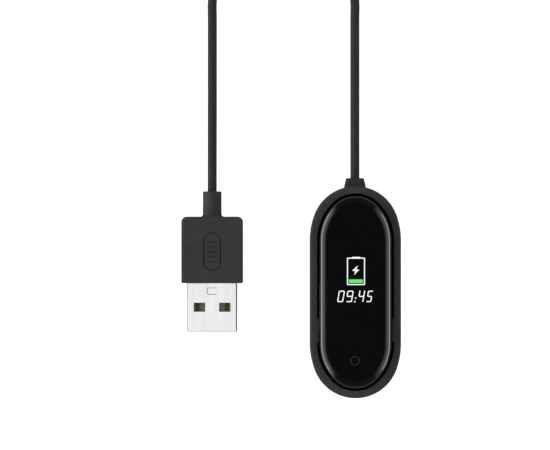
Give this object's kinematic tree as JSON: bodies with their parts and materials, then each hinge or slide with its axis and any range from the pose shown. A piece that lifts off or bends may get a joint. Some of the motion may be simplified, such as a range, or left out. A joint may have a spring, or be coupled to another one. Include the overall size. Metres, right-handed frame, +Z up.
{
  "type": "fitness tracker in charging cradle",
  "caption": "Pill-shaped fitness tracker with a lit glossy face, seated in a black charging cradle with a short lead and an A-type plug.",
  "frame": {"origin": "centre of the cradle's flat underside, on the surface that it stands on", "axes": "+Z up out of the tracker's lens, +Y along the cradle towards its lead, +X to the right with the display's digits upright"},
  "size_m": [0.0527, 0.1235, 0.0162],
  "materials": {
    "matt_black_plastic": "fine matt texture",
    "satin_black_plastic": "satin",
    "black_elastomer": "soft satin",
    "cord_jacket": "smooth satin elastomer jacket",
    "cord_tie_plastic": "satin",
    "lens_glass": "polished black-backed lens",
    "sensor_lens": "polished dark lens",
    "adhesive": "matt foam adhesive",
    "display": "lit panel",
    "flex_circuit": "polyimide film",
    "circuit_board": "solder mask",
    "chip_black": "moulded epoxy",
    "ceramic_white": "matt ceramic",
    "green_led": "clear resin",
    "battery_foil": "satin foil pouch",
    "gold_plate": "gold plated",
    "spring_steel": "plain",
    "motor_steel": "plated",
    "tungsten_alloy": "sintered",
    "plug_steel": "bright nickel plated",
    "black_insulator": "smooth",
    "white_insulator": "smooth",
    "core_insulation": "smooth"
  },
  "bodies": {
    "cradle": {"cradle_shell": "matt_black_plastic", "cradle_cover": "matt_black_plastic", "strain_relief": "black_elastomer", "dock_board": "circuit_board", "dock_components": "chip_black", "dock_wires": "core_insulation", "pogo_barrels": "gold_plate", "pogo_spring_left": "spring_steel", "pogo_spring_right": "spring_steel", "plug_overmould": "matt_black_plastic", "plug_shell": "plug_steel", "plug_insulator": "black_insulator", "plug_contacts": "gold_plate", "plug_inner_mould": "white_insulator", "plug_wires": "core_insulation", "cord_cradle_run": "cord_jacket", "cord_coil": "cord_jacket", "cord_plug_run": "cord_jacket", "cord_tie": "cord_tie_plastic"},
    "tracker": {"tracker_housing": "satin_black_plastic", "lens_gasket": "adhesive", "cover_lens": "lens_glass", "display_panel": "display", "display_flex": "flex_circuit", "touch_sensor": "flex_circuit", "inner_frame": "satin_black_plastic", "main_board": "circuit_board", "board_chips": "chip_black", "antenna": "ceramic_white", "battery": "battery_foil", "battery_board": "circuit_board", "sensor_window": "sensor_lens", "sensor_board": "circuit_board", "sensor_leds": "green_led", "photodiode": "chip_black", "charging_contacts": "gold_plate", "motor_plate": "motor_steel", "motor_cap": "motor_steel", "motor_shaft": "spring_steel"},
    "pogo_left": {"pogo_pin_left": "gold_plate"},
    "pogo_right": {"pogo_pin_right": "gold_plate"},
    "rotor": {"motor_rotor": "tungsten_alloy"}
  },
  "joints": [
    {"name": "tracker_lift", "type": "slide", "parent": "cradle", "child": "tracker", "axis": [0, 0, 1], "range_m": [0, 0.02]},
    {"name": "pogo_left_press", "type": "slide", "parent": "cradle", "child": "pogo_left", "axis": [0, 0, -1], "range_m": [0, 0.0006], "stiffness_N_per_m": 800, "springref_m": -0.0004, "deforming": ["pogo_spring_left"]},
    {"name": "pogo_right_press", "type": "slide", "parent": "cradle", "child": "pogo_right", "axis": [0, 0, -1], "range_m": [0, 0.0006], "stiffness_N_per_m": 800, "springref_m": -0.0004, "deforming": ["pogo_spring_right"]},
    {"name": "rotor_spin", "type": "hinge", "parent": "tracker", "child": "rotor", "pos_m": [0, -0.0156, 0.0067], "axis": [0, 0, 1], "continuous": true}
  ]
}
